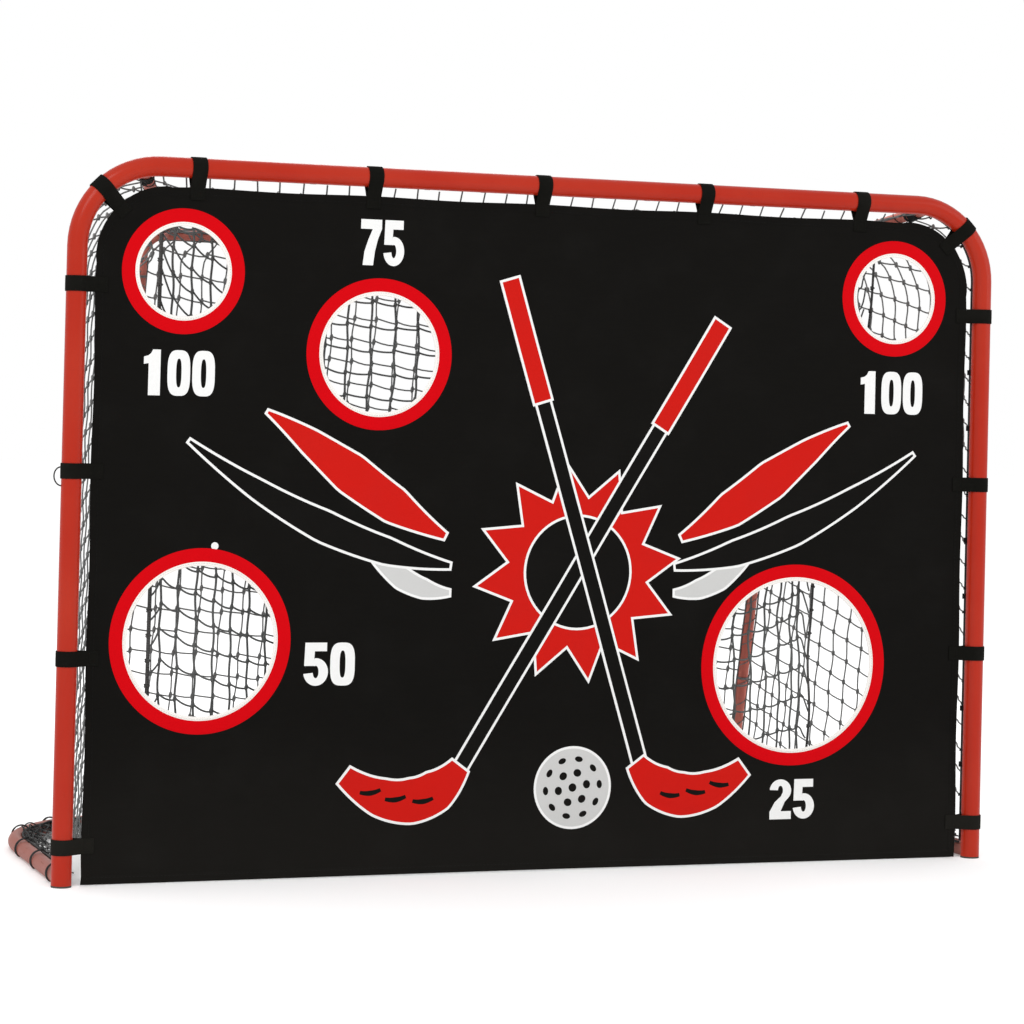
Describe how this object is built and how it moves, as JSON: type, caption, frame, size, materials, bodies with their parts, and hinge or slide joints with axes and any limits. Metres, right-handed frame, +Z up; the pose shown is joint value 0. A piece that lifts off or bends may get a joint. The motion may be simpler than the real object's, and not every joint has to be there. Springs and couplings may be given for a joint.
{
  "type": "target goal",
  "caption": "Small bent-tube floor goal with netted roof, back and sides, a hanging inner net, and a stretched target sheet with ringed round holes across its mouth.",
  "frame": {"origin": "on the floor, at the middle of the footprint's bounding box", "axes": "+X to the right across the goal mouth seen from the front, +Y from the mouth towards the back of the goal, +Z up"},
  "size_m": [1.6704, 0.6646, 1.1762],
  "materials": {
    "hoop_paint": "satin",
    "frame_paint": "faded satin",
    "plug": "matte",
    "hook": "matte",
    "net": "braided cord",
    "rope": "braided cord",
    "sheet": "coated cloth",
    "ring": "printed",
    "binding": "woven tape",
    "strap": "hook and loop"
  },
  "bodies": {
    "goal": {"front_hoop": "hoop_paint", "foot_plugs": "plug", "base_hoop": "frame_paint", "rear_hoop": "frame_paint", "roof_arm_left": "frame_paint", "roof_arm_right": "frame_paint", "net_roof": "net", "net_back": "net", "net_side_left": "net", "net_side_right": "net", "net_mouth_rope": "rope", "net_hem_rope_left": "rope", "net_hem_rope_right": "rope", "net_hem_rope_back": "rope", "net_hooks": "hook", "base_ties": "rope", "rear_ties": "rope", "arm_ties": "rope", "hanger_loops": "rope", "target_sheet": "sheet", "ring_corner_left": "ring", "ring_corner_right": "ring", "ring_high": "ring", "ring_low_left": "ring", "ring_low_right": "ring", "binding_corner_left": "binding", "binding_corner_right": "binding", "binding_high": "binding", "binding_low_left": "binding", "binding_low_right": "binding", "straps_top": "strap", "straps_corner": "strap", "straps_left": "strap", "straps_right": "strap"},
    "hanging_net": {"catch_net": "net", "catch_rope_top": "rope", "catch_rope_left": "rope", "catch_rope_right": "rope"}
  },
  "joints": [
    {"name": "hanging_net_swing", "type": "hinge", "parent": "goal", "child": "hanging_net", "pos_m": [0, -0.19412, 1.08], "axis": [1, 0, 0], "range_deg": [-6, 15]}
  ]
}
